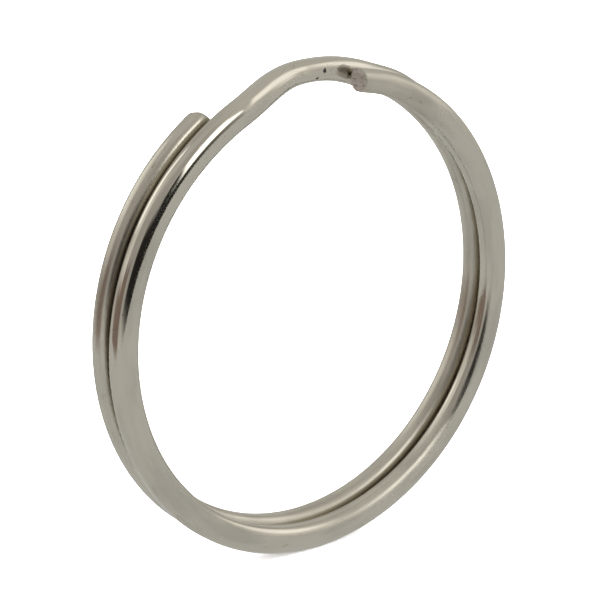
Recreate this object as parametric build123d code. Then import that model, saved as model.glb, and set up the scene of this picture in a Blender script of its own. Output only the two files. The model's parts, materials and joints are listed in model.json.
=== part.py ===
from build123d import *
import os
from math import cos, degrees, radians, sin

# Split key ring: one flattened spring wire, wound almost twice round.
# The ring stands upright on its rim. Its axis is Y, the front coil lies towards -Y, and +Z is up.
# The origin is the ring's centre, half way between the two coils' own centres.
# Angles are in degrees, counted from +X towards +Z. Lengths are in millimetres.

# The wire's section, radial by axial, and how far its rounded edges, quarters of an ellipse, reach
WIRE_WIDTH = 1.74
WIRE_THICKNESS = 1.27
EDGE_WIDTH_SHARE = 0.46
EDGE_THICKNESS_SHARE = 0.37

# The two coils: equal circles side by side, the rear one a little towards the crossover
COIL_OUTER_RADIUS = 15.0
COIL_GAP = 0.08
COIL_CENTRES_APART = 0.42
CENTRES_APART_ANGLE = 118.0

# The crossover, where the wire steps from the rear coil over to the front coil
CROSSOVER_START = 58.0
CROSSOVER_END = 132.0
STEP_MIDDLE = 102.0
STEP_HALF_SPAN = 12.0
CROSSOVER_SECTIONS = 38

# How far the wire is bent inwards before the step, how many degrees it rolls over along the step,
# and over which angles each grows and falls again
DIP = 0.16
DIP_RISE = (58.0, 69.0)
DIP_FALL = (67.0, 84.0)
ROLL = 16.0
ROLL_RISE = (84.0, 98.0)
ROLL_FALL = (97.0, 114.0)

# The wire is pinched narrower along the step
PINCHED_WIDTH = 1.44
PINCH_RISE = (66.0, 86.0)
PINCH_FALL = (87.0, 110.0)

# The front coil's tip is narrowed, and bent inwards at its very end
FRONT_TIP_WIDTH = 1.44
FRONT_TIP_BEND = 0.16
FRONT_TIP_BEND_START = 426.0
TIP_SECTIONS = 21

# The cut ends, which are askew: how far the cut runs along the wire for each step outwards and towards -Y
FRONT_TIP_END = 437.5
REAR_TIP_END = -240.1
CUT_SLOPES = {"front": (0.2, -0.16), "rear": (0.2, -0.34)}
CUT_EDGE_RADII = {"front": 0.12, "rear": 0.2}
CUT_ALLOWANCE = 2.0

# Each coil is a chain of stretches, parted by a gap so thin that the wire can bend there
BEND_GAP = 0.04
FRONT_STRETCHES = ("upper_left", "left", "lower_left", "bottom", "lower_right", "right", "upper_right", "tip")
REAR_STRETCHES = ("upper_right", "right", "lower_right", "bottom_right", "bottom_left", "lower_left", "left", "tip")

MIDDLE_RADIUS = COIL_OUTER_RADIUS - WIRE_WIDTH / 2
COIL_OFFSET = (COIL_GAP + WIRE_THICKNESS) / 2
BEND_GAP_ANGLE = degrees(BEND_GAP / MIDDLE_RADIUS)
Y_AXIS = Vector(0, 1, 0)


def radial(angle):
    """The direction outwards from the ring's axis at this angle."""
    return Vector(cos(radians(angle)), 0, sin(radians(angle)))


def smooth_step(value, low, high):
    """0 below low, 1 above high, and a smooth S between them."""
    share = min(1.0, max(0.0, (value - low) / (high - low)))
    return share * share * (3 - 2 * share)


def coil_centre(frontness):
    """The centre of the rear coil at 0, of the front coil at 1, and a point between them otherwise."""
    return radial(CENTRES_APART_ANGLE) * (COIL_CENTRES_APART * (0.5 - frontness))


def rise_and_fall(angle, rise, fall):
    """0 before the rise and after the fall, 1 between them, and smooth on the way."""
    return smooth_step(angle, *rise) - smooth_step(angle, *fall)


def wire_centre(angle):
    """The wire's centre line from the crossover on: the step to the front coil, and that coil to its tip."""
    frontness = smooth_step(angle, CROSSOVER_START, CROSSOVER_END)
    step = min(1.0, max(-1.0, (angle - STEP_MIDDLE) / STEP_HALF_SPAN))
    axial = -COIL_OFFSET * step * (1.5 - 0.5 * step * step)
    dip = DIP * rise_and_fall(angle, DIP_RISE, DIP_FALL)
    dip += FRONT_TIP_BEND * smooth_step(angle, FRONT_TIP_BEND_START, FRONT_TIP_END)
    return coil_centre(frontness) + radial(angle) * (MIDDLE_RADIUS - dip) + Y_AXIS * axial


def wire_along(angle):
    """The direction that the wire runs in there, towards growing angles."""
    nudge = 0.05
    return (wire_centre(angle + nudge) - wire_centre(angle - nudge)).normalized()


def crossover_width(angle):
    """The wire's width along the crossover, which is pinched between its two ends."""
    return WIRE_WIDTH - (WIRE_WIDTH - PINCHED_WIDTH) * rise_and_fall(angle, PINCH_RISE, PINCH_FALL)


def front_tip_width(angle, start):
    """The front tip's width, which falls evenly towards the cut end."""
    return WIRE_WIDTH - (WIRE_WIDTH - FRONT_TIP_WIDTH) * smooth_step(angle, start, FRONT_TIP_END)


def section_outline(width):
    """The wire's flat outline, outwards by axial: a rectangle whose corners are quarters of an ellipse."""
    corner_x, corner_y = width * EDGE_WIDTH_SHARE, WIRE_THICKNESS * EDGE_THICKNESS_SHARE
    x, y = width / 2 - corner_x, WIRE_THICKNESS / 2 - corner_y
    edges = []
    for right, top, start in ((1, 1, 0), (-1, 1, 90), (-1, -1, 180), (1, -1, 270)):
        plane = Plane(origin=(right * x, top * y, 0))
        edges.append(Edge.make_ellipse(corner_x, corner_y, plane, start, start + 90))
    for edge, following in zip(list(edges), edges[1:] + edges[:1]):
        edges.append(Edge.make_line(edge @ 1, following @ 0))
    return Face(Wire(edges))


def section(place, along, out, width, turn=0.0):
    """The wire's section at a place, square to the direction that the wire runs in."""
    plane = Plane(origin=place, x_dir=out - along * out.dot(along), z_dir=along)
    return plane.rotated((0, 0, turn)) * section_outline(width)


def evenly(start, end, count):
    """Evenly spaced angles from start to end, both included."""
    return [start + (end - start) * i / (count - 1) for i in range(count)]


def make_crossover():
    """The stretch that joins the two coils, lofted through sections square to its centre line."""
    first = CROSSOVER_START + BEND_GAP_ANGLE / 2
    last = CROSSOVER_END - BEND_GAP_ANGLE / 2
    sections = []
    for angle in evenly(first, last, CROSSOVER_SECTIONS):
        turn = ROLL * rise_and_fall(angle, ROLL_RISE, ROLL_FALL)
        sections.append(section(wire_centre(angle), wire_along(angle), radial(angle), crossover_width(angle), turn))
    return loft(sections)


def make_arc(centre, start, end):
    """A plain stretch of a coil: the wire's section turned about the coil's own axis."""
    along = radial(start + 90) if end > start else radial(start - 90)
    profile = section(centre + radial(start) * MIDDLE_RADIUS, along, radial(start), WIRE_WIDTH)
    turn = -1 if end > start else 1
    return revolve(profile, Axis(centre, Y_AXIS * turn), revolution_arc=abs(end - start))


def make_front_tip(start, end):
    """The front coil's last stretch, which narrows towards its cut end and is bent inwards there."""
    sections = []
    for angle in evenly(start, end, TIP_SECTIONS):
        width = front_tip_width(angle, start)
        sections.append(section(wire_centre(angle), wire_along(angle), radial(angle), width))
    return loft(sections)


def cut_off(stretch, coil, place, along):
    """Cuts a tip off askew, and rounds the edges of its cut face."""
    out_slope, axial_slope = CUT_SLOPES[coil]
    out = (place - coil_centre(1 if coil == "front" else 0)).normalized()
    square = along - out * out_slope + Y_AXIS * axial_slope
    kept = Keep.BOTTOM if coil == "front" else Keep.TOP
    stretch = split(stretch, bisect_by=Plane(origin=place, z_dir=square), keep=kept)
    cut_face = stretch.faces().sort_by_distance(place)[0]
    return fillet(cut_face.edges(), CUT_EDGE_RADII[coil])


def make_coil(coil, names, first, last):
    """All of one coil's stretches, from the crossover round to its tip, by name."""
    side = -1 if coil == "front" else 1
    centre = coil_centre(1 if coil == "front" else 0) + Y_AXIS * (side * COIL_OFFSET)
    direction = 1 if last > first else -1
    span = (last - first) / len(names)
    stretches = {}
    for i, name in enumerate(names):
        start = first + span * i + direction * BEND_GAP_ANGLE / 2
        end = first + span * (i + 1) - direction * BEND_GAP_ANGLE / 2
        if name != "tip":
            stretches[f"{coil}_coil_{name}"] = make_arc(centre, start, end)
        elif coil == "front":
            tip = make_front_tip(start, last + CUT_ALLOWANCE)
            stretches["front_coil_tip"] = cut_off(tip, coil, wire_centre(last), wire_along(last))
        else:
            tip = make_arc(centre, start, last - CUT_ALLOWANCE)
            end_place = centre + radial(last) * MIDDLE_RADIUS
            stretches["rear_coil_tip"] = cut_off(tip, coil, end_place, radial(last + 90))
    return stretches


nodes = {"crossover": make_crossover()}
nodes.update(make_coil("front", FRONT_STRETCHES, CROSSOVER_END, FRONT_TIP_END))
nodes.update(make_coil("rear", REAR_STRETCHES, CROSSOVER_START, REAR_TIP_END))

os.makedirs("parts", exist_ok=True)
for name, shape in nodes.items():
    export_step(shape, f"parts/{name}.step")
    print(name, round(shape.volume, 3), "mm3")
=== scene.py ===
import json
import math

import bmesh
import bpy
import numpy as np
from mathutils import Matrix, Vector, noise

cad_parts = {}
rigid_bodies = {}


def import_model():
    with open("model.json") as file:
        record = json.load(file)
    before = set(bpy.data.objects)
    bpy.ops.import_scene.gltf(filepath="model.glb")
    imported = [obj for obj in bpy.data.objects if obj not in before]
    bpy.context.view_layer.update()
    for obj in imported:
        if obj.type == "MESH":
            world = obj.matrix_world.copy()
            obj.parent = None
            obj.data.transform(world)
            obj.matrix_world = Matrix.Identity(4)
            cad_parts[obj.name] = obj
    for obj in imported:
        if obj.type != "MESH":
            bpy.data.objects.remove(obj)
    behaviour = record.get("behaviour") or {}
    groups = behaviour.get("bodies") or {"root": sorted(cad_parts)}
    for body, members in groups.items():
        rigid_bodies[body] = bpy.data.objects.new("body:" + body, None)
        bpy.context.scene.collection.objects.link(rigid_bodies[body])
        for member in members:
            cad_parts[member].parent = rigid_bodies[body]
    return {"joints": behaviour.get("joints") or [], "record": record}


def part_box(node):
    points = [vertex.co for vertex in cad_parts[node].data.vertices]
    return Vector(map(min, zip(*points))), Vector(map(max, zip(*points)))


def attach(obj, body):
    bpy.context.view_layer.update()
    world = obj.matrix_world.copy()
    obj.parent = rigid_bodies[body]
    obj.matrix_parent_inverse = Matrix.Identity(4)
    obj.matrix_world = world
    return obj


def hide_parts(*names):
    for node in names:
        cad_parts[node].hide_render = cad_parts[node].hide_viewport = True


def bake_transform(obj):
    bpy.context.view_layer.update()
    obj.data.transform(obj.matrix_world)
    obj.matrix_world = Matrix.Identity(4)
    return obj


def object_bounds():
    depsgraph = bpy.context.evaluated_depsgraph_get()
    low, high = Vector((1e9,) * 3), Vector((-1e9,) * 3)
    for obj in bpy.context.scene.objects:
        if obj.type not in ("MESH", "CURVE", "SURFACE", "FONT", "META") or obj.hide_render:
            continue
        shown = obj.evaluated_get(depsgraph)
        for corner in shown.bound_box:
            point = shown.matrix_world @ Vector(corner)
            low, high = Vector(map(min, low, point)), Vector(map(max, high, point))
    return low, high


# A split key ring: one flattened, nickel plated spring wire, wound almost twice round.
# Lengths are in metres and angles in degrees, counted from +X towards +Z about the ring's axis, Y.

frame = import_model()
cad_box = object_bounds()

MM = 0.001

# How far the section's rounded edges reach, as shares of its width and thickness, and how finely it is meshed
EDGE_WIDTH_SHARE = 0.46
EDGE_THICKNESS_SHARE = 0.37
CORNER_STEPS = 14
FLAT_STEPS = 4
RING_STEP = 1.0

# How far inside its true shape the wire is meshed, as the CAD's own flat facets are
MESH_INSET = 0.012 * MM

# The step where the wire goes over from one coil to the other, and where it is pinched narrower
STEP_MIDDLE = 102.0
STEP_HALF_SPAN = 12.0
PINCH_SHARE = 0.828
PINCH_RISE = (66.0, 86.0)
PINCH_FALL = (87.0, 110.0)
RIGID_CROSSOVER = (82.0, 118.0)

# How far the wire is bent inwards before the step, how many degrees it rolls over along the step,
# and over which angles each grows and falls again
DIP = 0.16 * MM
DIP_RISE = (58.0, 69.0)
DIP_FALL = (67.0, 84.0)
ROLL = 16.0
ROLL_RISE = (84.0, 98.0)
ROLL_FALL = (97.0, 114.0)

# The front coil's tip is narrowed, and bent inwards at its very end
FRONT_TIP_SHARE = 0.83
FRONT_TIP_BEND = 0.16 * MM
FRONT_TIP_BEND_START = 426.0

# The cut ends, which are askew: how far the cut runs along the wire for each step outwards and axially, how
# round its rim is, and over how many degrees the rings of the mesh lean over to it
CUT_SLOPES = {"front": (0.2, -0.16), "rear": (0.2, -0.34)}
CUT_RIM_RADII = {"front": 0.12 * MM, "rear": 0.34 * MM}
SLANT_SPAN = 5.0

# How finely a cut end's rim is meshed, and how far inwards each ring of its face lies
CUT_RIM_STEPS = 6
CUT_FACE_SHRINKS = (0.86, 0.7, 0.52, 0.34, 0.16)

# The relief of a cut face: a sheared step's depth and place outwards, and how deep and wide its tears are
CUT_STEP_DEPTH = 0.035 * MM
CUT_STEP_WITHIN = (-0.25 * MM, 0.35 * MM)
TEAR_DEPTH = 0.012 * MM
TEAR_WIDTH = 0.16 * MM

# How unevenly the rolls left the wire: (depth, length of a wave along the wire, across it)
WAVES = ((0.008 * MM, 8.0 * MM, 1.2 * MM), (0.003 * MM, 2.4 * MM, 0.5 * MM))

# Where painted shade darkens the side of the wire that faces the other coil, in the crevice between the
# coils, as a share of the way to that coil, where the coils part and meet again beside the crossover, and how
# far outwards from the wire's middle the painted shade begins
CREVICE_SHADE_FROM = 0.81
CREVICE_SHADE_FULLY = 0.995
COILS_PART = (60.0, 70.0)
COILS_MEET = (116.0, 122.0)
CREVICE_SHADE_OUTWARDS = (0.0, 0.3 * MM)

# The painted crevice shade is thinner at the rear coil's tip, and a little at its lower right, so highlights
# show there: where, and where the painted shade begins there
THINNED_SHADE_FROM = 0.965
SHADE_THINNED_AT_TIP = (-222.0, -198.0)
SHADE_THINNED_LOWER_RIGHT = ((-92.0, -78.0), (-40.0, -24.0))
LOWER_RIGHT_THINNING = 0.6

# How far either side of a hinge the wire's centre is read, as a share of the way to the neighbouring pieces'
# seams
BEND_SHARE = 0.9

# The flat caps that close a stretch of wire
CAPS = 2


def smooth_step(value, low, high):
    """0 below low, 1 above high, and a smooth S between them."""
    share = np.clip((value - low) / (high - low), 0.0, 1.0)
    return share * share * (3 - 2 * share)


# ---------------------------------------------------------------- the wire's course, read from the frame

def coil_joints(side):
    """This coil's hinges, from the crossover to the tip."""
    return [j for j in frame["joints"] if j["child"].startswith(side + "_")]


def fit_circle(points):
    """Centre and radius of the circle through points in the XZ plane."""
    x, z = points[:, 0], points[:, 2]
    columns = np.column_stack((2 * x, 2 * z, np.ones(len(x))))
    centre_x, centre_z, rest = np.linalg.lstsq(columns, x * x + z * z, rcond=None)[0]
    return np.array((centre_x, 0.0, centre_z)), math.sqrt(rest + centre_x ** 2 + centre_z ** 2)


def read_coil(side):
    """A coil's centre and radius, each hinge's angle, and the angle where the wire is cut off."""
    joints = coil_joints(side)
    points = np.array([j["pos_m"] for j in joints])
    centre, radius = fit_circle(points)
    angles = np.degrees(np.unwrap(np.arctan2(points[:, 2] - centre[2], points[:, 0] - centre[0])))
    span = (angles[-1] - angles[0]) / (len(angles) - 1)
    return {
        "joints": joints,
        "centre": centre,
        "radius": radius,
        "axial": points[:, 1].mean(),
        "angles": angles,
        "span": span,
        "end": angles[0] + span * len(angles),
    }


front = read_coil("front")
rear = read_coil("rear")
middle_radius = (front["radius"] + rear["radius"]) / 2
coil_offset = (rear["axial"] - front["axial"]) / 2

low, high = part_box("front_coil_bottom")
wire_thickness = high.y - low.y
wire_width = 2 * (front["centre"][2] - low.z - middle_radius)


def radial(angle):
    """The direction outwards from the ring's axis, for each angle of an array."""
    turn = np.radians(angle)
    return np.stack((np.cos(turn), np.zeros_like(turn), np.sin(turn)), axis=-1)


def rise_and_fall(angle, rise, fall):
    """0 before the rise and after the fall, 1 between them, and smooth on the way."""
    return smooth_step(angle, *rise) - smooth_step(angle, *fall)


def wire_centre(angle):
    """The wire's centre line: the rear coil, the crossover and the front coil in one."""
    angle = np.asarray(angle, float)
    frontness = smooth_step(angle, rear["angles"][0], front["angles"][0])[..., None]
    centre = rear["centre"] * (1 - frontness) + front["centre"] * frontness
    step = np.clip((angle - STEP_MIDDLE) / STEP_HALF_SPAN, -1.0, 1.0)
    dip = DIP * rise_and_fall(angle, DIP_RISE, DIP_FALL)
    dip = dip + FRONT_TIP_BEND * smooth_step(angle, FRONT_TIP_BEND_START, front["end"])
    place = centre + radial(angle) * (middle_radius - dip)[..., None]
    place[..., 1] -= coil_offset * step * (1.5 - 0.5 * step * step)
    return place


def wire_along(angle):
    """The direction in which the wire runs, towards growing angles."""
    nudge = 0.05
    chord = wire_centre(angle + nudge) - wire_centre(angle - nudge)
    return chord / np.linalg.norm(chord, axis=-1, keepdims=True)


def width_share(angle):
    """The wire's width as a share of its full one: pinched at the step and at the front tip."""
    pinch = rise_and_fall(angle, PINCH_RISE, PINCH_FALL)
    narrowing = smooth_step(angle, front["angles"][-1], front["end"])
    return 1 - (1 - PINCH_SHARE) * pinch - (1 - FRONT_TIP_SHARE) * narrowing


# ---------------------------------------------------------------- the wire's surface

def section_outline(half_width, half_thickness):
    """A rectangle with elliptical corners: its points, (outwards, axial), going round once."""
    corner = 2 * np.array((half_width * EDGE_WIDTH_SHARE, half_thickness * EDGE_THICKNESS_SHARE))
    straight = np.array((half_width, half_thickness)) - corner
    points = []
    for quarter in range(4):
        out_side = 1 if quarter in (0, 3) else -1
        axial_side = 1 if quarter < 2 else -1
        middle = straight * (out_side, axial_side)
        for step in range(CORNER_STEPS + 1):
            turn = math.radians(90 * (quarter + step / CORNER_STEPS))
            points.append(middle + corner * (math.cos(turn), math.sin(turn)))
        if quarter in (0, 2):
            start = points[-1]
            across = -2 * out_side * straight[0]
            for step in range(1, FLAT_STEPS):
                points.append(start + np.array((across * step / FLAT_STEPS, 0.0)))
    return np.array(points)


def unevenness(along, outline):
    """How far the surface lies below its true shape, by the waves that rolling left."""
    depth = 0.0
    for size, length, across in WAVES:
        level = noise.noise(Vector((along / length, outline[0] / across, outline[1] / across)))
        depth += size * (0.5 + 0.5 * level)
    return depth


def cut_relief(outline):
    """How far a cut face lies behind its end: a sheared step across it, and a torn surface."""
    step = smooth_step(outline[0], *CUT_STEP_WITHIN)
    torn = noise.noise(Vector((outline[0], outline[1], 0.0)) / TEAR_WIDTH)
    return CUT_STEP_DEPTH * step + TEAR_DEPTH * (0.5 + 0.5 * torn)


def ring(angle, inset=0.0, shrink=1.0, forward=0.0, slopes=(0.0, 0.0)):
    """One ring of points round the wire, and their places for the material: along, outwards, axial."""
    half_width = width_share(angle) * wire_width / 2 - inset
    half_thickness = wire_thickness / 2 - inset - MESH_INSET
    outline = section_outline(half_width - MESH_INSET, half_thickness) * shrink
    centre, along = wire_centre(angle), wire_along(angle)
    out = radial(angle) - along * (radial(angle) @ along)
    out /= np.linalg.norm(out)
    axial = np.cross(out, along)
    turn = math.radians(ROLL * rise_and_fall(angle, ROLL_RISE, ROLL_FALL))
    turn_cos, turn_sin = math.cos(turn), math.sin(turn)
    out, axial = out * turn_cos - axial * turn_sin, axial * turn_cos + out * turn_sin
    travelled = math.radians(angle) * middle_radius
    points, places = [], []
    for spot in outline:
        length = np.linalg.norm(spot)
        spot = spot * (1 - unevenness(travelled, spot) / max(length, wire_thickness / 2))
        back = cut_relief(spot) * np.sign(forward) if shrink < 1 else 0.0
        askew = slopes[0] * spot[0] + slopes[1] * spot[1]
        points.append(centre + out * spot[0] + axial * spot[1] + along * (forward - back + askew))
        places.append((travelled + forward + askew, spot[0], spot[1]))
    return np.array(points), np.array(places)


def plain_rings(start, end, slopes, is_tip):
    """Rings from one angle to another, both included, which lean more and more towards a cut end."""
    count = max(2, int(round(abs(end - start) / RING_STEP)) + 1)
    angles = np.linspace(start, end, count)
    slants = smooth_step(-np.abs(angles - end), -SLANT_SPAN, 0.0) if is_tip else np.zeros(count)
    return [ring(angle, slopes=slopes * slant) for angle, slant in zip(angles, slants)]


def cut_end_rings(end, direction, radius, slopes):
    """Rings round the rim of a cut end and inwards over its face."""
    rings = []
    for step in range(1, CUT_RIM_STEPS + 1):
        turn = math.pi / 2 * step / CUT_RIM_STEPS
        inset = radius * (1 - math.cos(turn))
        forward = direction * radius * math.sin(turn)
        rings.append(ring(end, inset=inset, forward=forward, slopes=slopes))
    for shrink in CUT_FACE_SHRINKS:
        rings.append(ring(end, inset=radius, shrink=shrink, forward=direction * radius, slopes=slopes))
    return rings


def grid_normals(points):
    """Normals of a tube's points, from the slopes along and round it, with two points more at each side."""
    around = np.concatenate((points[:, -2:], points, points[:, :2]), axis=1)
    steps = np.linalg.norm(np.diff(around, axis=1), axis=2).mean(axis=0)
    distance = np.concatenate(((0.0,), np.cumsum(steps)))
    slope_around = np.gradient(around, distance, axis=1)[:, 2:-2]
    slope_along = np.gradient(points, axis=0)
    normals = np.cross(slope_around, slope_along)
    return normals / np.linalg.norm(normals, axis=2, keepdims=True)


def build_wire(name, start, end, is_tip):
    """A closed stretch of the wire between two angles, cut off and rounded at its end if it is a tip."""
    direction = 1 if end > start else -1
    side = "front" if direction > 0 else "rear"
    radius, slopes = CUT_RIM_RADII[side], np.array(CUT_SLOPES[side])
    last = end - direction * math.degrees(radius / middle_radius) if is_tip else end
    rings = plain_rings(start, last, slopes, is_tip)
    plain_count = len(rings)
    if is_tip:
        rings += cut_end_rings(last, direction, radius, slopes)
    points = np.array([r[0] for r in rings])
    places = np.array([r[1] for r in rings])
    if direction > 0:
        points, places = points[:, ::-1], places[:, ::-1]
    return wire_object(name, points, places, grid_normals(points), plain_count)


def wire_object(name, points, places, normals, plain_count):
    """The mesh object of a grid of rings, with a flat cap at each end and its own smooth normals."""
    rings, around = points.shape[:2]
    faces = []
    for i in range(rings - 1):
        for j in range(around):
            k = (j + 1) % around
            faces.append((i * around + j, i * around + k, (i + 1) * around + k, (i + 1) * around + j))
    faces.append(tuple(reversed(range(around))))
    faces.append(tuple((rings - 1) * around + j for j in range(around)))
    mesh = bpy.data.meshes.new(name)
    mesh.from_pydata(points.reshape(-1, 3).tolist(), [], faces)
    mesh.shade_smooth()
    set_normals(mesh, normals.reshape(-1, 3))
    write_places(mesh, places, plain_count)
    # How much painted shade each point gets in the crevice between the coils, which the material reads
    write_level(mesh, "crevice_shade", crevice_shade_share(places))
    made = bpy.data.objects.new(name, mesh)
    bpy.context.scene.collection.objects.link(made)
    return made


def set_normals(mesh, normals):
    """Gives each face corner its vertex's normal, and the caps their own flat one."""
    corners = []
    first_cap = len(mesh.polygons) - CAPS
    for face in mesh.polygons:
        for vertex in face.vertices:
            corners.append(face.normal if face.index >= first_cap else normals[vertex])
    mesh.normals_split_custom_set([tuple(c) for c in corners])


def write_level(mesh, name, levels):
    """Keeps a number for each point."""
    level = mesh.attributes.new(name, "FLOAT", "POINT")
    level.data.foreach_set("value", levels.astype(np.float32).ravel())


def write_places(mesh, places, plain_count):
    """Keeps where each point lies on the wire, in millimetres, and whether it is on a cut face."""
    place = mesh.attributes.new("place", "FLOAT_VECTOR", "POINT")
    place.data.foreach_set("vector", (places / MM).astype(np.float32).ravel())
    on_cut = np.zeros(places.shape[:2])
    on_cut[plain_count + CUT_RIM_STEPS // 2:] = 1.0
    write_level(mesh, "cut", on_cut)


def crevice_shade_share(places):
    """How much painted shade each point gets in the crevice between the coils, by how far it faces the other
    coil: 1 on the face that lies against it.
    """
    angle = np.degrees(places[..., 0] / middle_radius)
    towards = np.where(angle < STEP_MIDDLE, 1.0, -1.0) * places[..., 2] / (wire_thickness / 2)
    beside = 1 - smooth_step(angle, *COILS_PART) + smooth_step(angle, *COILS_MEET)
    # Less painted shade at the rear tip and the lower right
    shade_thinned = 1 - smooth_step(angle, *SHADE_THINNED_AT_TIP)
    shade_thinned = shade_thinned + LOWER_RIGHT_THINNING * rise_and_fall(angle, *SHADE_THINNED_LOWER_RIGHT)
    shade_from = CREVICE_SHADE_FROM + (THINNED_SHADE_FROM - CREVICE_SHADE_FROM) * shade_thinned
    facing = smooth_step(towards, shade_from, CREVICE_SHADE_FULLY)
    return facing * beside * smooth_step(places[..., 1], *CREVICE_SHADE_OUTWARDS)


# ---------------------------------------------------------------- node materials

def new_material(name):
    """A node material with nothing in it but its output, and a way to add nodes to it."""
    material = bpy.data.materials.new(name)
    material.use_nodes = True
    material.node_tree.nodes.clear()
    return material, NodeBuilder(material.node_tree)


class NodeBuilder:
    """Adds shader nodes. A socket given a node's output is linked, and one given a value is set."""

    def __init__(self, tree):
        self.tree = tree

    def fill(self, socket, value):
        """Links the socket to a node's output, or sets it to a value."""
        if isinstance(value, bpy.types.NodeSocket):
            self.tree.links.new(value, socket)
        else:
            socket.default_value = value

    def node(self, kind, inputs=None, **settings):
        made = self.tree.nodes.new("ShaderNode" + kind)
        for key, value in settings.items():
            setattr(made, key, value)
        for key, value in (inputs or {}).items():
            self.fill(made.inputs[key], value)
        return made

    def math(self, operation, *values):
        made = self.node("Math", operation=operation)
        for socket, value in zip(made.inputs, values):
            self.fill(socket, value)
        return made.outputs[0]

    def ramp(self, value, low, high, to_low=0.0, to_high=1.0):
        """to_low where value is low, to_high where it is high, and a smooth S between them."""
        inputs = {"Value": value, "From Min": low, "From Max": high, "To Min": to_low, "To Max": to_high}
        return self.node("MapRange", inputs, interpolation_type="SMOOTHSTEP").outputs["Result"]

    def blend(self, share, first, second):
        """The first colour where share is 0, the second where it is 1."""
        made = self.node("Mix", data_type="RGBA")
        for key, value in ((0, share), (6, first), (7, second)):
            self.fill(made.inputs[key], value)
        return made.outputs[2]

    def colour(self, rgb):
        return (*rgb, 1.0)

    def surface(self, shader):
        output = self.node("OutputMaterial")
        self.tree.links.new(shader.outputs[0], output.inputs["Surface"])


# ---------------------------------------------------------------- the nickel plating

NICKEL_BRIGHT = (0.66, 0.625, 0.53)
NICKEL_DULL = (0.56, 0.53, 0.45)
NICKEL_CUT = (0.8, 0.745, 0.71)
TARNISH = (0.30, 0.25, 0.18)
# Near-black painted shade for the crevice between the coils, which is also the colour of the nicks and of the
# dirt behind the front tip
GRIME_AND_PAINTED_SHADE = (0.035, 0.034, 0.031)

# The noises behind the plating's details: waves a millimetre along the wire, outwards and axially
DIE_LINE_WAVES = (0.16, 7.0, 7.0)
GRAIN_WAVES = (9.0, 26.0, 26.0)
CLOUD_WAVES = (0.22, 0.9, 0.9)
TORN_WAVES = (5.0, 14.0, 3.0)
RAGGED_WAVES = (6.0, 6.0, 6.0)
SCRATCH_WAVES = (0.35, 2.2, 2.2)
SCRATCHED_PATCH_WAVES = (0.9, 1.3, 1.3)

# How thin the scratches are, and the noise levels between which a patch comes to have them
SCRATCH_THINNESS = 0.006
SCRATCHED_BETWEEN = (0.52, 0.58)

# Pits: cells a millimetre, how far from a cell's middle a pit reaches, and which share of the cells has none
PIT_CELLS = 2.6
PIT_REACH = (0.04, 0.12)
PITLESS_SHARE = (0.86, 0.9)

# The noise levels between which the plating turns dull, a die line shows as a streak, and torn steel is dark
DULL_BETWEEN = (0.4, 0.68)
STREAK_BETWEEN = (0.45, 0.75)
CORE_BETWEEN = (0.52, 0.66)

# How strongly streaks, marks, bare cut steel, its dark core, and dirt with painted shade colour the plating
STREAK_SHARE = 0.35
MARK_SHARE = 0.55
CUT_SHARE = 0.8
CORE_SHARE = 0.6
CREVICE_SHADE_SHARE = 0.92

# Marks on the crossover's flank, where tips and keys rub it, and dirt with a painted shadow of the front tip
# behind that tip:
# what it is, angle, how far outwards, half its length, half its width (mm), and how dark it is
SPOTS = (
    ("nick", 85.0, 0.0, 0.12, 0.19, 0.9),
    ("small nick", 87.1, -0.42, 0.12, 0.08, 0.9),
    ("smudge and painted shadow behind the tip", 78.9, 0.1, 0.5, 0.3, 0.45),
)
SPOT_RAGGEDNESS = 2.4
SPOT_EDGE = (0.5, 1.1)
FLANK_FROM = (0.1, 0.4)

# The roughness of the plating between die lines and on them, and what is added to it
DIE_LINE_ROUGHNESS = (0.055, 0.1)
DIE_LINE_BETWEEN = (0.3, 0.7)
INNER_SIDE_ROUGHNESS = 0.07
INNER_SIDE_WITHIN = (-0.4, 0.15)
DULLNESS_ROUGHNESS = 0.03
DIRT_AND_SHADE_ROUGHNESS = 0.12
MARK_ROUGHNESS = 0.25
CUT_ROUGHNESS = 0.22

# Where the front coil's lower right is worn by keys: where the wear rises and falls along the wire, in
# millimetres, and the roughness that it adds
WORN_RISE = (64.0, 70.0)
WORN_FALL = (76.5, 80.5)
WORN_ROUGHNESS = 0.14

# How deep the relief is, in metres: below zero it is cut into the surface
MICROMETRE = 0.001 * MM
DIE_LINE_DEPTH = 0.7 * MICROMETRE
GRAIN_DEPTH = 0.05 * MICROMETRE
SCRATCH_DEPTH = -0.6 * MICROMETRE
PIT_DEPTH = -1.5 * MICROMETRE
TORN_DEPTH = 8.0 * MICROMETRE


def millimetres_along(angle):
    """How far along the wire an angle is, as the material counts it."""
    return math.radians(angle) * middle_radius / MM


front_end = millimetres_along(front["end"])
rear_end = millimetres_along(rear["end"])

# Stretches that are rougher: what it is, between which places along the wire it changes, in millimetres,
# and the roughness added before and after
ROUGHER_STRETCHES = (
    ("rear coil", 15.5, 23.0, 0.16, 0.0),
    ("front coil's tip", front_end - 9.0, front_end - 5.0, 0.0, 0.3),
    ("rear coil's very end", rear_end, rear_end + 0.7, 0.25, 0.0),
)


def wire_noise(build, place, waves, detail=2.0):
    """A noise with so many waves a millimetre along the wire, outwards and axially."""
    scaled = build.node("VectorMath", {0: place, 1: waves}, operation="MULTIPLY").outputs[0]
    inputs = {"Vector": scaled, "Scale": 1.0, "Detail": detail, "Roughness": 0.5}
    return build.node("TexNoise", inputs).outputs[0]


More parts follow.
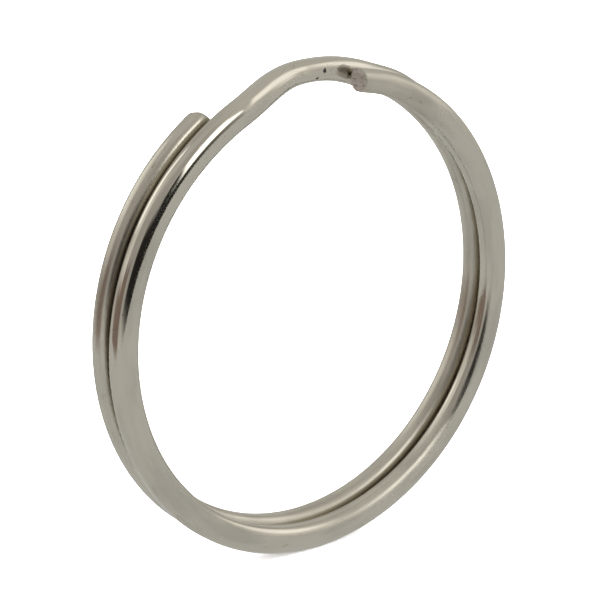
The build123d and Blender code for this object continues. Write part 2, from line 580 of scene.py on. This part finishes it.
def scratches_on(build, place):
    """1 on thin scratches, which are contour lines of a noise, where another noise lets them be."""
    level = wire_noise(build, place, SCRATCH_WAVES, detail=0.0)
    off_line = build.math("ABSOLUTE", build.math("SUBTRACT", level, 0.5))
    line = build.ramp(off_line, 0.0, SCRATCH_THINNESS, 1.0, 0.0)
    patches = wire_noise(build, place, SCRATCHED_PATCH_WAVES, detail=0.0)
    return build.math("MULTIPLY", line, build.ramp(patches, *SCRATCHED_BETWEEN))


def pits_on(build, place):
    """1 in small round pits in the plating, which are far apart."""
    cells = build.node("TexVoronoi", {"Vector": place, "Scale": PIT_CELLS, "Randomness": 1.0})
    near = build.ramp(cells.outputs["Distance"], *PIT_REACH, 1.0, 0.0)
    chosen = build.node("SeparateColor", {0: cells.outputs["Color"]}).outputs[0]
    return build.math("MULTIPLY", near, build.ramp(chosen, *PITLESS_SHARE))


def spots_on(build, place, axes):
    """How dark the marks on the crossover's flank are, the nicks and the dirt with painted shadow behind the
    front tip: ovals with a ragged edge.
    """
    ragged = wire_noise(build, place, RAGGED_WAVES)
    darkest = 0.0
    for _, angle, outwards, half_length, half_width, darkness in SPOTS:
        from_middle = build.math("SUBTRACT", axes["X"], millimetres_along(angle))
        along = build.math("DIVIDE", from_middle, half_length)
        across = build.math("DIVIDE", build.math("SUBTRACT", axes["Y"], outwards), half_width)
        reach = build.math("MULTIPLY_ADD", along, along, build.math("MULTIPLY", across, across))
        evened = build.math("SUBTRACT", reach, SPOT_RAGGEDNESS / 2)
        reach = build.math("MULTIPLY_ADD", ragged, SPOT_RAGGEDNESS, evened)
        darkest = build.math("MAXIMUM", darkest, build.ramp(reach, *SPOT_EDGE, darkness, 0.0))
    return build.math("MULTIPLY", darkest, build.ramp(axes["Z"], *FLANK_FROM))


class Plating:
    """What the colour, the roughness and the relief of the plating are made from, as node outputs."""

    def __init__(self, build):
        place = build.node("Attribute", attribute_name="place").outputs["Vector"]
        crevice_shade = build.node("Attribute", attribute_name="crevice_shade").outputs["Fac"]
        self.cut = build.node("Attribute", attribute_name="cut").outputs["Fac"]
        self.axes = build.node("SeparateXYZ", {0: place}).outputs
        self.die_lines = wire_noise(build, place, DIE_LINE_WAVES, detail=3.0)
        self.grain = wire_noise(build, place, GRAIN_WAVES)
        self.torn = wire_noise(build, place, TORN_WAVES, detail=3.0)
        self.dullness = build.ramp(wire_noise(build, place, CLOUD_WAVES, detail=3.0), *DULL_BETWEEN)
        self.scratches = scratches_on(build, place)
        self.pits = pits_on(build, place)
        marks = build.math("MAXIMUM", self.scratches, self.pits)
        self.marks = build.math("MULTIPLY", marks, MARK_SHARE)
        # Painted shade in the crevice between the coils, together with the nicks and the dirt with painted
        # shadow behind the front tip
        coil_painted_shade = build.math("MULTIPLY", crevice_shade, CREVICE_SHADE_SHARE)
        self.dirt_and_shade = build.math("MAXIMUM", coil_painted_shade, spots_on(build, place, self.axes))


def plating_colour(build, plating):
    """Bright nickel, duller in patches and on die lines, marked, bare steel where it is cut, and darkened by
    nicks, dirt and painted shade in the crevice between the coils.
    """
    colour = build.blend(plating.dullness, build.colour(NICKEL_BRIGHT), build.colour(NICKEL_DULL))
    streak = build.math("MULTIPLY", build.ramp(plating.die_lines, *STREAK_BETWEEN), STREAK_SHARE)
    colour = build.blend(streak, colour, build.colour(NICKEL_DULL))
    colour = build.blend(plating.marks, colour, build.colour(TARNISH))
    colour = build.blend(build.math("MULTIPLY", plating.cut, CUT_SHARE), colour, build.colour(NICKEL_CUT))
    core = build.ramp(plating.torn, *CORE_BETWEEN, 0.0, CORE_SHARE)
    colour = build.blend(build.math("MULTIPLY", core, plating.cut), colour, build.colour(TARNISH))
    # Near-black where shade is painted in the crevice and behind the front tip, and on the nicks and dirt
    return build.blend(plating.dirt_and_shade, colour, build.colour(GRIME_AND_PAINTED_SHADE))


def plating_roughness(build, plating):
    """The roughness of the die lines, and what each flaw, side and stretch adds to it."""
    along, outwards = plating.axes["X"], plating.axes["Y"]
    added = [build.ramp(outwards, *INNER_SIDE_WITHIN, INNER_SIDE_ROUGHNESS, 0.0)]
    for _, start, end, before, after in ROUGHER_STRETCHES:
        added.append(build.ramp(along, start, end, before, after))
    worn = build.math("MULTIPLY", build.ramp(along, *WORN_RISE), build.ramp(along, *WORN_FALL, 1.0, 0.0))
    flaws = (
        (worn, WORN_ROUGHNESS),
        (plating.dirt_and_shade, DIRT_AND_SHADE_ROUGHNESS),
        (plating.dullness, DULLNESS_ROUGHNESS),
        (plating.marks, MARK_ROUGHNESS),
        (plating.cut, CUT_ROUGHNESS),
    )
    for share, amount in flaws:
        added.append(build.math("MULTIPLY", share, amount))
    roughness = build.ramp(plating.die_lines, *DIE_LINE_BETWEEN, *DIE_LINE_ROUGHNESS)
    for amount in added:
        roughness = build.math("ADD", roughness, amount)
    return roughness


def plating_normal(build, plating):
    """The relief of die lines, grain, scratches and pits, and of the torn steel on a cut end."""
    reliefs = (
        (plating.die_lines, DIE_LINE_DEPTH, 1.0),
        (plating.grain, GRAIN_DEPTH, 1.0),
        (plating.scratches, SCRATCH_DEPTH, 1.0),
        (plating.pits, PIT_DEPTH, 1.0),
        (plating.torn, TORN_DEPTH, plating.cut),
    )
    below = {}
    for height, depth, strength in reliefs:
        inputs = {"Height": height, "Strength": strength, "Distance": depth, **below}
        below = {"Normal": build.node("Bump", inputs).outputs[0]}
    return below["Normal"]


def nickel_plate():
    """Satin nickel on a rolled wire: die lines along it, a soft grain, scratches, pits and dull patches."""
    material, build = new_material("nickel_plate")
    plating = Plating(build)
    inputs = {
        "Base Color": plating_colour(build, plating),
        "Metallic": 1.0,
        "Roughness": plating_roughness(build, plating),
        "Normal": plating_normal(build, plating),
    }
    build.surface(build.node("BsdfPrincipled", inputs))
    return material


nickel = nickel_plate()


# ---------------------------------------------------------------- the pieces

def add_piece(node, start, end, bodies, hinge=None, reach=None, is_tip=False):
    """A stretch of wire that stands for a CAD node and hides it: without a hinge it is attached to its body,
    with one it is left in place.
    """
    piece = build_wire(node + "_wire", start, end, is_tip)
    piece.data.materials.append(nickel)
    if hinge is None:
        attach(piece, bodies[0])
    else:
        first = Vector(wire_centre(hinge - reach))
        second = Vector(wire_centre(hinge + reach))
        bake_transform(piece)
    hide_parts(node)


def add_coil(coil, crossover_seam):
    """All of a coil's pieces. Each reaches from the middle of one stretch to the middle of the next."""
    seam = crossover_seam
    for i, joint in enumerate(coil["joints"]):
        hinge = coil["angles"][i]
        is_tip = i == len(coil["joints"]) - 1
        next_seam = coil["end"] if is_tip else hinge + coil["span"] / 2
        half_reach = min(abs(hinge - seam), abs(coil["span"]) / 2)
        reach = BEND_SHARE * math.copysign(half_reach, coil["span"])
        node = frame["record"]["behaviour"]["bodies"][joint["child"]][0]
        add_piece(node, seam, next_seam, (joint["parent"], joint["child"]), hinge, reach, is_tip)
        seam = next_seam


add_piece("crossover", *RIGID_CROSSOVER, ("crossover",))
add_coil(rear, RIGID_CROSSOVER[0])
add_coil(front, RIGID_CROSSOVER[1])

# ---------------------------------------------------------------- camera

CAMERA_AZIMUTH = -38.98
CAMERA_ELEVATION = 17.73
CAMERA_DISTANCE = 163.7 * MM
CAMERA_LENS = 164.8
CAMERA_SENSOR_WIDTH = 36.0
CAMERA_CLIP_START = 10 * MM
AIM_RIGHT = -0.631 * MM
AIM_UP = 0.524 * MM


def direction(azimuth, elevation):
    """A direction from the ring: azimuth 0 is -Y and grows towards +X."""
    turn, rise = math.radians(azimuth), math.radians(elevation)
    return Vector((math.sin(turn) * math.cos(rise), -math.cos(turn) * math.cos(rise), math.sin(rise)))


def add_camera():
    """A camera that looks at the front coil's centre, a little off it as the picture is framed."""
    back = direction(CAMERA_AZIMUTH, CAMERA_ELEVATION)
    right = Vector((0, 0, 1)).cross(back).normalized()
    up = back.cross(right)
    aim = Vector(front["centre"]) + right * AIM_RIGHT + up * AIM_UP
    camera = bpy.data.objects.new("camera", bpy.data.cameras.new("camera"))
    bpy.context.scene.collection.objects.link(camera)
    camera.location = aim + back * CAMERA_DISTANCE
    camera.rotation_mode = "QUATERNION"
    camera.rotation_quaternion = (-back).to_track_quat("-Z", "Y")
    camera.data.lens = CAMERA_LENS
    camera.data.sensor_width = CAMERA_SENSOR_WIDTH
    camera.data.clip_start = CAMERA_CLIP_START
    bpy.context.scene.camera = camera


add_camera()

# ---------------------------------------------------------------- stage

WHITE = (1.0, 1.0, 1.0)
WORLD_STRENGTH = 3.4
FLOOR_REACH = 3.0
TENT_RADIUS = 0.6
TENT_SUBDIVISIONS = 4
TENT_GREY = (0.585, 0.58, 0.56)

# The panels of the light tent, as the metal sees them, each over the ones before it:
# what it is, azimuth, elevation, half its width, half its height, softness of its edge, lean, radiance
PANELS = (
    ("dim wall above the dark one", -85, 22, 75, 14, 24, 0, (0.44, 0.42, 0.41)),
    ("dark left wall", -97, 1, 39, 12, 8, 0, (0.24, 0.185, 0.16)),
    ("dark gap round the camera", 2, -4, 24, 6, 11, -19, (0.022, 0.021, 0.02)),
    ("dark gap at the back", 172, -2, 10, 12, 12, 0, (0.17, 0.16, 0.12)),
    ("soft light at the left", -138, 26, 6, 14, 12, 0, (0.8, 0.78, 0.75)),
    ("window at the back left", -157, 30, 2, 11, 6, 35, (1.5, 1.5, 1.47)),
    ("lit cloth between the lamp and the fill panel", 38, 9, 6, 8, 6, 0, (0.72, 0.7, 0.67)),
    ("fill panel on the right", 57, 20, 12, 4, 13, 0, (1.3, 1.27, 1.26)),
    ("dark gap below the lamp", 6.4, 6.3, 2.5, 9, 3.5, 40, (0.022, 0.021, 0.02)),
    ("lamp in front", 14.5, 13, 4, 10, 3.5, 40, (2.6, 2.6, 2.55)),
)

# The grey card round the ring, whose front edge runs askew: each corner's place on the floor
CARD = ((-62 * MM, -45 * MM), (400 * MM, -275 * MM), (400 * MM, 80 * MM), (-62 * MM, 80 * MM))
CARD_WHITENESS = 0.1786
PAPER_WHITENESS = 0.95

# The softbox over the floor: its side and distance in metres, its power, its azimuth and its elevation
KEY_SIZE = 0.25
KEY_DISTANCE = 0.4
KEY_POWER = 0.08
KEY_DIRECTION = (8.0, 55.0)


def panel_share(build, azimuth, elevation, panel):
    """1 on a panel, 0 away from it, and a smooth edge."""
    _, middle_azimuth, middle_elevation, half_width, half_height, softness, lean, _ = panel
    aside = build.math("WRAP", build.math("SUBTRACT", azimuth, middle_azimuth), 180.0, -180.0)
    above = build.math("SUBTRACT", elevation, middle_elevation)
    lean_cos, lean_sin = math.cos(math.radians(lean)), math.sin(math.radians(lean))
    across = build.math("MULTIPLY_ADD", above, lean_sin, build.math("MULTIPLY", aside, lean_cos))
    along = build.math("MULTIPLY_ADD", aside, -lean_sin, build.math("MULTIPLY", above, lean_cos))
    within_width = build.ramp(build.math("ABSOLUTE", across), half_width, half_width + softness, 1.0, 0.0)
    within_height = build.ramp(build.math("ABSOLUTE", along), half_height, half_height + softness, 1.0, 0.0)
    return build.math("MULTIPLY", within_width, within_height)


def tent_material():
    """Grey cloth with the panels on it, which only the metal sees."""
    material, build = new_material("light_tent")
    position = build.node("NewGeometry").outputs["Position"]
    towards = build.node("VectorMath", {0: position}, operation="NORMALIZE").outputs[0]
    axes = build.node("SeparateXYZ", {0: towards}).outputs
    behind = build.math("MULTIPLY", axes["Y"], -1.0)
    azimuth = build.math("DEGREES", build.math("ARCTAN2", axes["X"], behind))
    elevation = build.math("DEGREES", build.math("ARCSINE", axes["Z"]))
    colour = build.colour(TENT_GREY)
    for panel in PANELS:
        share = panel_share(build, azimuth, elevation, panel)
        colour = build.blend(share, colour, build.colour(panel[-1]))
    build.surface(build.node("Emission", {"Color": colour}))
    material.cycles.emission_sampling = "NONE"
    return material


def matt_material(name, whiteness):
    """Matt paper."""
    material, build = new_material(name)
    build.surface(build.node("BsdfDiffuse", {"Color": build.colour((whiteness,) * 3)}))
    return material


def stage_object(name, mesh, material):
    """An object of the studio, which isn't part of the ring."""
    mesh.materials.append(material)
    made = bpy.data.objects.new(name, mesh)
    bpy.context.scene.collection.objects.link(made)
    return made


def flat_mesh(name, corners):
    """A level sheet with these four corners, at the ring's lowest point."""
    mesh = bpy.data.meshes.new(name)
    mesh.from_pydata([(x, y, cad_box[0].z) for x, y in corners], [], [(0, 1, 2, 3)])
    return mesh


def only_in_reflections(stage_piece):
    """Hides a piece of the studio from all but the metal."""
    stage_piece.visible_camera = False
    stage_piece.visible_diffuse = False
    stage_piece.visible_shadow = False


def add_floor():
    """White paper, and a grey card on it round the ring that shows only in the metal."""
    corners = [(FLOOR_REACH * x, FLOOR_REACH * y) for x, y in ((-1, -1), (1, -1), (1, 1), (-1, 1))]
    sheet = flat_mesh("floor", corners)
    paper = stage_object("floor", sheet, matt_material("floor_paper", PAPER_WHITENESS))
    paper.visible_glossy = False
    card = flat_mesh("grey_card", CARD)
    only_in_reflections(stage_object("grey_card", card, matt_material("grey_card", CARD_WHITENESS)))


def add_tent():
    """A shell round the ring that carries the panels, and shows only in the metal."""
    shell = bmesh.new()
    bmesh.ops.create_icosphere(shell, subdivisions=TENT_SUBDIVISIONS, radius=TENT_RADIUS)
    mesh = bpy.data.meshes.new("light_tent")
    shell.to_mesh(mesh)
    shell.free()
    only_in_reflections(stage_object("light_tent", mesh, tent_material()))


def add_world():
    """An even pale surround, which lights the floor."""
    world = bpy.data.worlds.new("studio")
    world.use_nodes = True
    background = world.node_tree.nodes["Background"]
    background.inputs["Color"].default_value = (*WHITE, 1.0)
    background.inputs["Strength"].default_value = WORLD_STRENGTH
    bpy.context.scene.world = world
    world.cycles_visibility.glossy = False


def add_key_light():
    """The softbox as the floor sees it."""
    light = bpy.data.lights.new("key", "AREA")
    light.shape = "RECTANGLE"
    light.size, light.size_y = KEY_SIZE, KEY_SIZE
    light.energy = KEY_POWER
    lamp = bpy.data.objects.new("key", light)
    bpy.context.scene.collection.objects.link(lamp)
    towards = direction(*KEY_DIRECTION)
    lamp.location = towards * KEY_DISTANCE
    lamp.rotation_mode = "QUATERNION"
    lamp.rotation_quaternion = towards.to_track_quat("Z", "Y")
    lamp.visible_glossy = False


add_floor()
add_tent()
add_world()
add_key_light()
bpy.context.scene.view_settings.view_transform = "Standard"
